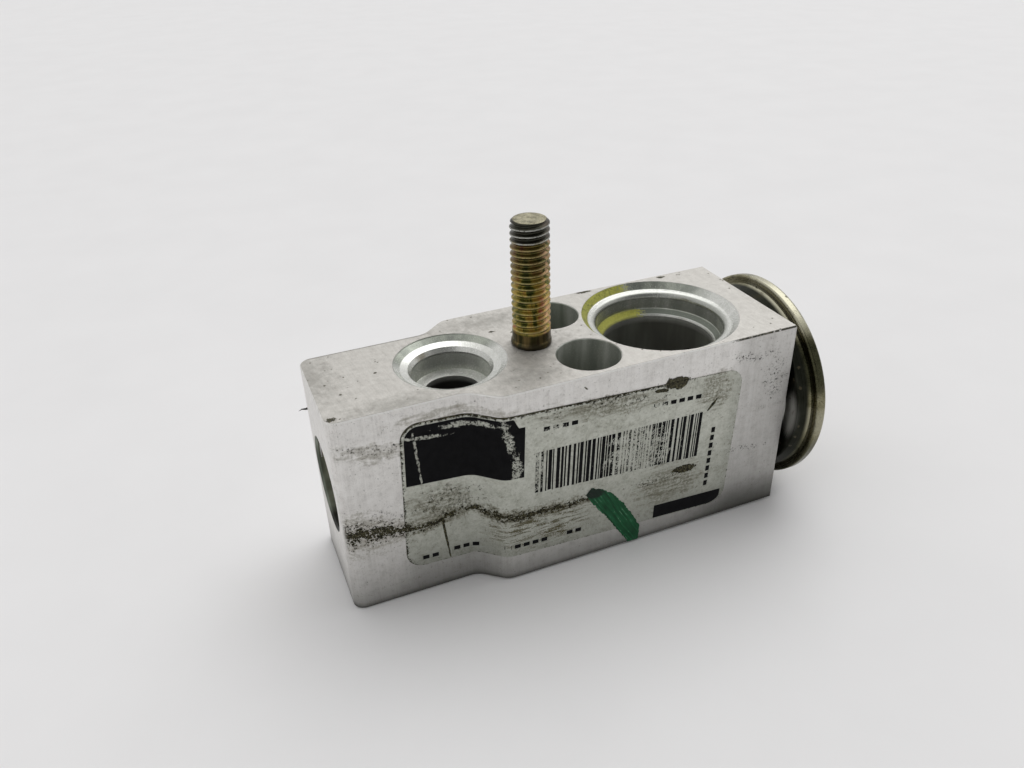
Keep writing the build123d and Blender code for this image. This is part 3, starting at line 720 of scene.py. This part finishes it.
def head_material():
    """Pale yellow plating, with painted highlight and painted shade on the head's rim by the way each part
    faces, painted shade that makes its dish nearly black, and painted light on a patch of the dish's flat
    bottom.
    """
    g = Graph("yellow_zinc_head")
    radius = g.distance(None, 0, AXIS_Z)
    cloud = g.noise(0.5, 4, 0.6, warp=0.4)
    fine = g.noise(5.0, 3, 0.7)
    around = g.noise(1.0, 3, 0.6, at=g.vector(radius * 6.0, g.x * 6.0, 0.0))
    plating = g.ramp(
        cloud * 0.5 + fine * 0.5,
        [(0.36, (0.10, 0.095, 0.05)), (0.5, (0.22, 0.205, 0.125)), (0.64, (0.38, 0.36, 0.26))],
    )
    rim_shade_tones = [(0.36, (0.012, 0.014, 0.007)), (0.64, (0.065, 0.066, 0.035))]
    turn_y, turn_z = g.y / radius, (g.z - AXIS_Z) / radius
    # painted highlight on the rim's top and a narrow line on its front
    rim_highlight = g.smooth(turn_z * 0.97 - turn_y * 0.26 + (cloud - 0.5) * 0.06, 0.86, 0.95)
    rim_highlight = g.either(rim_highlight, g.smooth(turn_y * -1, 0.985, 0.999) * 0.5)
    plating = g.mix(rim_highlight, plating, (0.42, 0.405, 0.31))
    # painted shade on the rim's front, above and below the axis
    front_up_shade = g.smooth(turn_z * 0.53 - turn_y * 0.85 + (cloud - 0.5) * 0.06, 0.945, 0.985)
    front_down_shade = (fine - 0.5) * 0.1 - turn_z * 0.56 - turn_y * 0.83 + (cloud - 0.5) * 0.1
    darkened = g.either(front_up_shade * 0.9, g.smooth(front_down_shade, 0.90, 0.97) * 0.75)
    colour = g.mix(darkened, plating, g.ramp(cloud * 0.5 + fine * 0.5, rim_shade_tones))
    # painted shade: the dish nearly black
    dish_shade = g.ramp(around * 0.6 + cloud * 0.4, [(0.36, (0.006, 0.007, 0.004)), (0.6, (0.03, 0.031, 0.024))])
    # painted light on the part of the dish's flat bottom in view
    lit_patch = g.reach((DISH_X, -13.6, -16.4), (9.0, 2.0, 4.2)) + (around - 0.5) * 0.8
    dish_shade = g.mix(g.smooth(lit_patch, 1.2, 0.5), dish_shade, (0.36, 0.36, 0.34))
    dish = g.smooth(radius, 16.6, 16.2) * (1 - g.smooth(g.x, 41.6, 42.0))
    colour = g.mix(dish, colour, dish_shade)
    groove = g.both(g.smooth(radius, 16.9, 17.1), g.smooth(radius, 17.5, 17.42))
    groove = g.both(groove, g.smooth(g.x, 42.44, 42.3))
    nicks = g.smooth(g.cells(0.42) + (fine - 0.5) * 0.3, 0.12, 0.08)
    grime = g.smooth(cloud + (fine - 0.5) * 0.8, 0.60, 0.72)
    colour = g.mix(g.either(nicks, grime * 0.5, groove * 0.7) * 0.85, colour, (0.05, 0.04, 0.018))
    rough = 0.20 + fine * 0.16 + dish * 0.12 + grime * 0.15
    height = around * 0.4 + fine * 0.3 - nicks
    return g.finish(colour, 1 - nicks * 0.5, rough, height, bump=0.35, depth=0.05)


def turned_material(name, low, high, rough=0.25):
    """Plain turned or ground metal with fine marks round the long axis."""
    g = Graph(name)
    radius = g.distance(None, 0, AXIS_Z)
    marks = g.noise(1.0, 3, 0.6, at=g.vector(g.x * 8.0, radius * 8.0, 0.0))
    cloud = g.noise(0.8, 3, 0.6)
    colour = g.ramp(marks * 0.5 + cloud * 0.5, [(0.3, low), (0.7, high)])
    return g.finish(colour, 1.0, rough + cloud * 0.15, marks * 0.6 + cloud * 0.2, bump=0.3, depth=0.03)


def rubber_material():
    g = Graph("hnbr")
    cloud = g.noise(2.0, 3, 0.6)
    colour = g.ramp(cloud, [(0.3, (0.01, 0.03, 0.018)), (0.7, (0.03, 0.075, 0.045))])
    return g.finish(colour, 0.0, 0.45 + cloud * 0.2, cloud, bump=0.2, depth=0.03)


def paint_material():
    """Brushed-on green marking paint, ridged along the stroke and thin enough for bright streaks."""
    g = Graph("marking_paint")
    along = g.z * -0.85 + g.x * 0.5
    across = g.x * 0.85 + g.z * 0.5
    ridges = g.noise(1.0, 3, 0.65, at=g.vector(across * 3.2, along * 0.16, 0.0), warp=0.2)
    cloud = g.noise(1.0, 4, 0.6)
    colour = g.ramp(
        ridges * 0.8 + cloud * 0.2,
        [(0.34, (0.0015, 0.026, 0.009)), (0.5, (0.003, 0.070, 0.023)), (0.66, (0.014, 0.135, 0.052))],
    )
    head = g.reach((4.2, 0, -21.3), (2.0, FAR, 1.1), (0, 0.3, 0))
    head = g.smooth(head + (cloud - 0.5) * 1.2, 1.15, 0.7)
    colour = g.mix(head * 0.92, colour, (0.006, 0.012, 0.008))
    bare = g.both(g.smooth(ridges + (cloud - 0.5) * 0.5, 0.63, 0.70), 1 - head)
    colour = g.mix(bare * 0.5, colour, (0.16, 0.28, 0.19))
    return g.finish(colour, 0.0, 0.36 + cloud * 0.1, ridges, bump=0.6, depth=0.08, Specular_IOR_Level=0.2)


# ------------------------------------------------------------------ mesh helpers
def mesh_object(name, vertices, faces, material, smooth=True):
    """Mesh from vertices in millimetres."""
    mesh = bpy.data.meshes.new(name)
    mesh.from_pydata([tuple(c * MM for c in v) for v in vertices], [], faces)
    mesh.validate()
    if smooth:
        mesh.shade_smooth()
    mesh.materials.append(material)
    piece = bpy.data.objects.new(name, mesh)
    bpy.context.scene.collection.objects.link(piece)
    return piece


def on_axis(x, radius, angle):
    """Point round the long axis through the head and the adjuster."""
    return x, radius * math.cos(angle), AXIS_Z + radius * math.sin(angle)


def flank_line():
    """(x, y) points of the front flank from the narrow end to the head end."""
    start, foot, crest, end = (
        Vector((NARROW_END_X, -NARROW_Y)),
        Vector((-14.3, -NARROW_Y)),
        Vector((-10.3, -WIDE_Y)),
        Vector((HEAD_END_X, -WIDE_Y)),
    )
    points = [start]
    for before, corner, after, radius in ((start, foot, crest, 3.5), (foot, crest, end, 3.0)):
        into = (corner - before).normalized()
        out = (after - corner).normalized()
        turn = into.angle(out)
        reach = radius * math.tan(turn / 2)
        side = Vector((-into.y, into.x)) * (1 if into.cross(out) > 0 else -1)
        centre = corner - into * reach + side * radius
        spoke = corner - into * reach - centre
        sense = 1 if into.cross(out) > 0 else -1
        for step in range(17):
            angle = sense * turn * step / 16
            points.append(centre + Matrix.Rotation(angle, 2) @ spoke)
    points.append(end)
    return points


FLANK = np.array([tuple(point) for point in flank_line()])


def flank_point(x, z, lift):
    """Point lifted off the front flank, along the flank's normal."""
    y = float(np.interp(x, FLANK[:, 0], FLANK[:, 1]))
    ahead = float(np.interp(x + 0.05, FLANK[:, 0], FLANK[:, 1]))
    behind = float(np.interp(x - 0.05, FLANK[:, 0], FLANK[:, 1]))
    normal = Vector((ahead - behind, -0.1)).normalized()
    return x + normal.x * lift, y + normal.y * lift, z


# ------------------------------------------------------------------ label print
def on_label(u, v, lift):
    """Point of the label's face at (u, v), lift above the film."""
    cos_t, sin_t = math.cos(FILM_TILT), math.sin(FILM_TILT)
    x = FILM_CENTRE[0] + u * cos_t - v * sin_t
    z = FILM_CENTRE[1] + u * sin_t + v * cos_t
    return flank_point(x, z, FILM_OFFSET + lift)


def sheet(rows, lift, vertices, faces):
    """Adds a strip of (u, v low, v high) columns to the print."""
    levels = 12
    start = len(vertices)
    for u, low, high in rows:
        for k in range(levels + 1):
            vertices.append(on_label(u, low + (high - low) * k / levels, lift))
    for column in range(len(rows) - 1):
        for k in range(levels):
            a = start + column * (levels + 1) + k
            faces.append((a, a + levels + 1, a + levels + 2, a + 1))


PRINT_LIFT = 0.012
DASH_PITCH, DASH_LENGTH, DASH_HALF_HEIGHT = 1.5, 1.0, 0.36
# rows of plain dashes: start, how many, middle height
DASH_ROWS = [
    (-6.9, 4, 9.6),
    (11.4, 6, 9.4),
    (-24.8, 2, -11.4),
    (-19.8, 3, -11.1),
    (-12.6, 5, -11.0),
    (-2.2, 2, -10.9),
]


def label_print(material):
    """Dark panel, bars of made-up widths, plain dashes and a lower block."""
    rng = np.random.default_rng(7)
    vertices, faces = [], []

    def upright(u, wide, low, high):
        sheet([(u, low, high), (u + wide, low, high)], PRINT_LIFT, vertices, faces)

    def rounded(from_end, reach):
        """How far a corner that starts at reach from the end has drawn the edge in."""
        share = min(max(from_end / reach, 0), 1)
        return 2.2 * (1 - math.sqrt(1 - (1 - share) ** 2))

    panel = []
    for u in np.linspace(-26.75, -9.8, 90):
        top = 12.3 - rounded(u + 26.75, 2.2)
        bottom = 2.15 - (u + 18.0) * 0.03
        if u > -11.6:
            top -= 1.6 * min((u + 11.6) / 0.8, 1)
        panel.append((u, bottom, top))
    sheet(panel, PRINT_LIFT, vertices, faces)

    u = -8.0
    while u < 20.8:
        wide = float(rng.choice([0.2, 0.26, 0.4, 0.56]))
        low = -1.5 - 0.02 * (u + 8.0) + 0.05 * rng.standard_normal()
        high = 5.75 + 0.02 * (u + 8.0)
        upright(u, wide, low, high)
        u += wide + float(rng.choice([0.14, 0.2, 0.3, 0.42]))

    for start, count, middle in DASH_ROWS:
        for place in range(count):
            low, high = middle - DASH_HALF_HEIGHT, middle + DASH_HALF_HEIGHT
            upright(start + place * DASH_PITCH, DASH_LENGTH, low, high)
    for place in range(8):
        v = -8.6 + place * DASH_PITCH
        upright(22.8, 0.7, v, v + DASH_LENGTH)

    sash = [(u, -12.7 + rounded(26.7 - u, 2.6), -10.15) for u in np.linspace(13.6, 26.4, 40)]
    sheet(sash, PRINT_LIFT, vertices, faces)
    return mesh_object("label_print", vertices, faces, material)


# ------------------------------------------------------------------ stud with its thread
def thread_profile(t):
    """Depth share of a rolled 60 degree thread at t turns from a crest's middle."""
    away = abs((t + 0.5) % 1.0 - 0.5) * 2
    crest, root = 0.2, 0.78
    if away <= crest:
        return 0.10 * (away / crest) ** 2
    if away >= root:
        return 1.0 - 0.06 * ((1 - away) / (1 - root)) ** 2
    share = (away - crest) / (root - crest)
    return 0.10 + 0.84 * share


def threaded_stud(material):
    pitch, crest_r, depth = 1.0, 2.95, 0.50
    top, bottom = 19.8, -0.4
    sides, step = 112, 0.05
    rows = [bottom + step * i for i in range(int((top - bottom) / step) + 1)]
    vertices, faces = [], []
    for z in rows:
        for i in range(sides):
            angle = 2 * math.pi * i / sides
            fade = min(max((z - 2.55) / 0.5, 0), 1)
            cut = thread_profile((z - 3.2) / pitch - i / sides) * depth * fade
            point = Vector((math.cos(angle), math.sin(angle), z * 0.6))
            wear = 0.035 * noise.noise(point * 2.3) + 0.015 * noise.noise(point * 7.0)
            radius = crest_r - 0.01 - cut - abs(wear)
            foot = min(max(1 - abs(z - 0.45) / 0.55, 0), 1) if z > 0 else 0
            radius += 0.22 * foot * (2 - foot) * (1 + 0.5 * noise.noise(point * 1.5))
            radius = min(radius, (top - z) * 1.0 + 2.46 + 0.05 * noise.noise(point * 1.1))
            vertices.append((radius * math.cos(angle), radius * math.sin(angle), z))
    for row in range(len(rows) - 1):
        for i in range(sides):
            a, b = row * sides + i, row * sides + (i + 1) % sides
            faces.append((a, b, b + sides, a + sides))
    # slightly dished, sheared end
    last = (len(rows) - 1) * sides
    rings = 8
    for ring in range(1, rings):
        share = 1 - ring / rings
        for i in range(sides):
            x, y, z = vertices[last + i]
            point = Vector((x * share, y * share, 3.0))
            dip = 0.06 * noise.noise(point * 0.9) - 0.05 * (1 - share)
            vertices.append((x * share, y * share, top + dip - 0.01))
        for i in range(sides):
            low = last + (ring - 1) * sides
            a, b = low + i, low + (i + 1) % sides
            faces.append((a, b, b + sides, a + sides))
    vertices.append((0, 0, top - 0.06))
    low = last + (rings - 1) * sides
    for i in range(sides):
        faces.append((low + i, low + (i + 1) % sides, len(vertices) - 1))
    return mesh_object("stud_thread", vertices, faces, material)


# ------------------------------------------------------------------ paint stroke
def paint_stroke(material):
    """Thin raised brush stroke down the front flank."""
    spine = [
        (3.4, -20.8),
        (4.6, -21.8),
        (6.2, -23.4),
        (8.2, -26.0),
        (10.0, -28.9),
        (11.4, -31.4),
        (11.8, -33.0),
        (11.8, -33.9),
    ]
    widths = [0.7, 1.25, 1.7, 1.75, 1.75, 1.6, 1.15, 1.0]
    rows = 90
    spine = np.array(spine)
    length = np.concatenate([[0], np.cumsum(np.hypot(*np.diff(spine, axis=0).T))])
    stations = np.linspace(0, length[-1], rows)
    centre = np.stack([np.interp(stations, length, spine[:, k]) for k in (0, 1)], 1)
    half = np.interp(stations, length, widths)
    across = 28
    vertices, faces = [], []
    for row, (x, z) in enumerate(centre):
        ahead = centre[min(row + 1, rows - 1)] - centre[max(row - 1, 0)]
        side = np.array([-ahead[1], ahead[0]]) / np.hypot(*ahead)
        ragged = 0.16 * noise.noise(Vector((stations[row] * 1.7, 3.0, 0))) * 2
        for k in range(across + 1):
            share = 2 * k / across - 1
            wave = 0.1 * noise.noise(Vector((k * 0.9, row * 0.3, 7)))
            reach = half[row] * share * (1 + ragged * 0.5) + wave
            px, pz = np.array([x, z]) + side * reach
            swell = (1 - share**4) * (0.035 + 0.02 * noise.noise(Vector((k * 0.8, row * 0.04, 1))))
            px = float(px)
            pz = max(float(pz), BOTTOM_Z + 0.16)
            vertices.append(flank_point(px, pz, FILM_OFFSET + 0.005 + swell))
    for row in range(rows - 1):
        for k in range(across):
            a = row * (across + 1) + k
            faces.append((a, a + 1, a + across + 2, a + across + 1))
    return mesh_object("paint_stroke", vertices, faces, material)


# ------------------------------------------------------------------ thread in the adjuster's bore
def bore_thread(material):
    """The turns of thread between the bore's mouth and the adjusting screw."""
    pitch, height = 1.0, 0.3
    start, end = -33.5, -32.4
    sides = 96
    count = int((end - start - 0.5) / pitch * sides)
    vertices, faces = [], []
    for i in range(count + 1):
        angle = 2 * math.pi * i / sides
        x = start + 0.25 + pitch * i / sides
        grown = min(i, count - i, 12) / 12
        rise = height * grown
        for reach, shift in ((0.02, -0.216), (-rise, -0.03), (-rise, 0.03), (0.02, 0.216)):
            vertices.append(on_axis(x + shift, ADJUSTER_BORE_R + reach, angle))
    for i in range(count):
        for k in range(3):
            a = i * 4 + k
            faces.append((a, a + 1, a + 5, a + 4))
    return mesh_object("bore_thread", vertices, faces, material)


def burr(material):
    """Curl of metal torn up on the back edge of the narrow end."""
    spine = [
        (-33.2, 9.0, -8.25),
        (-33.6, 9.25, -8.2),
        (-34.2, 9.4, -8.35),
        (-34.8, 9.5, -8.3),
        (-35.3, 9.6, -8.6),
    ]
    widths = [0.30, 0.28, 0.18, 0.10, 0.02]
    sides = 6
    vertices, faces = [], []
    for (x, y, z), wide in zip(spine, widths):
        for k in range(sides):
            angle = 2 * math.pi * k / sides
            vertices.append((x, y + wide * 0.5 * math.cos(angle), z + wide * math.sin(angle)))
    for row in range(len(spine) - 1):
        for k in range(sides):
            a, b = row * sides + k, row * sides + (k + 1) % sides
            faces.append((a, b, b + sides, a + sides))
    faces.append(tuple(range(len(vertices) - sides, len(vertices))))
    return mesh_object("burr", vertices, faces, material)


# ------------------------------------------------------------------ diaphragm
def flexing_diaphragm(material):
    """Diaphragm held at its flat rim, with two waves inside the clamp and a flat middle."""
    near_x, thick, rim_r, clamp_r, stop_r = 43.1, 0.15, 17.4, 14.6, 12.6
    sides = 96
    profile = [(0.0, rim_r), (0.0, clamp_r)]
    for outer, inner in ((clamp_r, 12.0), (12.0, 9.4)):
        for step in range(1, 13):
            share = step / 12
            profile.append((0.35 * (1 - (2 * share - 1) ** 2), outer + (inner - outer) * share))
    profile += [(0.0, 6.0), (0.0, 3.0), (0.0, 0.6)]
    loop = [(x + thick, r) for x, r in profile] + [(x, r) for x, r in reversed(profile)]
    vertices, faces = [], []
    for x, radius in loop:
        for i in range(sides):
            vertices.append(on_axis(near_x + x, radius, 2 * math.pi * i / sides))
    for row in range(len(loop)):
        start, after = row * sides, (row + 1) % len(loop) * sides
        for i in range(sides):
            j = (i + 1) % sides
            faces.append((start + i, start + j, after + j, after + i))
    middle = len(profile) - 1
    faces.pop(middle * sides)
    del faces[middle * sides : middle * sides + sides - 1]
    for row, turn in ((middle, 1), (middle + 1, -1)):
        ring = [row * sides + i for i in range(sides)]
        faces.append(tuple(ring[::turn]))
    piece = mesh_object("diaphragm_flex", vertices, faces, material)
    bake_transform(piece)
    # each point's radius round the axis
    radii = [math.hypot(y, z - AXIS_Z) for _, y, z in vertices]
    return piece


# ------------------------------------------------------------------ dress the frame
block = block_material()
film = film_material()
stud_plating = stud_material()
head_plating = head_material()
stainless = turned_material("stainless", (0.42, 0.42, 0.42), (0.68, 0.68, 0.67))
brass = turned_material("brass", (0.46, 0.33, 0.10), (0.72, 0.56, 0.24))
rubber = rubber_material()
paint = paint_material()

FINISHES = {
    "valve_body": block,
    "label_film": film,
    "mounting_stud": stud_plating,
    "head_base": head_plating,
    "head_cover": head_plating,
    "head_gasket": rubber,
    "rod_o_ring": rubber,
    "adjuster_o_ring": rubber,
    "diaphragm_stop": brass,
    "ball_holder": brass,
    "adjusting_screw": brass,
}
for name, node in nodes.items():
    node.data.materials.clear()
    node.data.materials.append(FINISHES.get(name, stainless))
    node.data.set_sharp_from_angle(angle=math.radians(32))

stud = threaded_stud(stud_plating)
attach(stud, "block")
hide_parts("mounting_stud")

printed = label_print(print_material())
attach(printed, "block")

stroke = paint_stroke(paint)
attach(stroke, "block")

flexing = flexing_diaphragm(stainless)
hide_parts("diaphragm")

darkened = turned_material("tarnished_metal", (0.03, 0.03, 0.025), (0.10, 0.10, 0.09), 0.4)
for piece in (bore_thread(stainless), burr(darkened)):
    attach(piece, "block")


# ------------------------------------------------------------------ floor, light and camera
def floor_material():
    g = Graph("studio_floor")
    soft = g.noise(0.05, 3, 0.5)
    colour = g.ramp(soft, [(0.3, (0.785, 0.78, 0.785)), (0.7, (0.805, 0.80, 0.805))])
    return g.finish(colour, 0.0, 0.7)


def studio_floor():
    """Floor under the narrow end's lower edge and the head's rim, on which the part rests."""
    reach = 6000
    corners = [(-reach, -reach), (reach, -reach), (reach, reach), (-reach, reach)]
    slope = (RIM_LOW[1] - BOTTOM_Z) / (RIM_LOW[0] - NARROW_END_X)
    vertices = [(x, y, BOTTOM_Z + slope * (x - NARROW_END_X)) for x, y in corners]
    return mesh_object("studio_floor", vertices, [(0, 1, 2, 3)], floor_material(), smooth=False)


def sunlight(name, towards, spread, power):
    """Distant broad lamp in the direction towards, spread wide in degrees."""
    light = bpy.data.lights.new(name, "SUN")
    light.angle = math.radians(spread)
    light.energy = power
    lamp = bpy.data.objects.new(name, light)
    bpy.context.scene.collection.objects.link(lamp)
    lamp.rotation_euler = Vector(towards).to_track_quat("Z", "Y").to_euler()
    return lamp


def studio_world():
    """White room, brightest overhead and behind the part, with a dark opening behind the camera."""
    world = bpy.data.worlds.new("studio")
    world.use_nodes = True
    tree = world.node_tree
    background = tree.nodes["Background"]
    coords = tree.nodes.new("ShaderNodeTexCoord")

    def towards(direction, stops):
        tilt = tree.nodes.new("ShaderNodeVectorMath")
        tilt.operation = "DOT_PRODUCT"
        tilt.inputs[1].default_value = direction
        ramp = tree.nodes.new("ShaderNodeValToRGB")
        for element, (place, colour) in zip(ramp.color_ramp.elements, stops):
            element.position = place
            element.color = (*colour, 1)
        tree.links.new(coords.outputs["Generated"], tilt.inputs[0])
        tree.links.new(tilt.outputs["Value"], ramp.inputs[0])
        return ramp.outputs[0]

    room = towards((0.16, 0.40, 0.90), [(0.0, (0.61, 0.61, 0.61)), (0.9, (0.93, 0.925, 0.92))])
    opening = towards((0.10, -0.72, 0.69), [(0.74, (1, 1, 1)), (0.93, (0.30, 0.305, 0.30))])
    blend = tree.nodes.new("ShaderNodeMix")
    blend.data_type = "RGBA"
    blend.blend_type = "MULTIPLY"
    blend.inputs[0].default_value = 1
    tree.links.new(room, blend.inputs[6])
    tree.links.new(opening, blend.inputs[7])
    tree.links.new(blend.outputs[2], background.inputs["Color"])
    return world


CAMERA_PLACE = (-45.082, -104.697, 60.766)
CAMERA_YAW, CAMERA_PITCH, CAMERA_ROLL = 0.3781, 0.5394, -0.0340
SENSOR_WIDTH, LENS = 36, 29.548


def camera():
    """Camera that looks along its yaw from +Y towards +X and down by its pitch, then rolls."""
    level = Vector((math.sin(CAMERA_YAW), math.cos(CAMERA_YAW), 0))
    forward = level * math.cos(CAMERA_PITCH) - Vector((0, 0, math.sin(CAMERA_PITCH)))
    right = Vector((level.y, -level.x, 0))
    up = right.cross(forward)
    right, up = (
        right * math.cos(CAMERA_ROLL) + up * math.sin(CAMERA_ROLL),
        up * math.cos(CAMERA_ROLL) - right * math.sin(CAMERA_ROLL),
    )
    data = bpy.data.cameras.new("photo_camera")
    data.sensor_width = SENSOR_WIDTH
    data.lens = LENS
    data.clip_start, data.clip_end = 0.005, 10
    body = bpy.data.objects.new("photo_camera", data)
    bpy.context.scene.collection.objects.link(body)
    turn = Matrix((right, up, -forward)).transposed()
    body.matrix_world = Matrix.Translation(Vector(CAMERA_PLACE) * MM) @ turn.to_4x4()
    return body


studio_floor()
sunlight("key", (0.42, 0.34, 0.84), 50, 0.86)
scene = bpy.context.scene
scene.world = studio_world()
scene.camera = camera()
scene.view_settings.view_transform = "Standard"
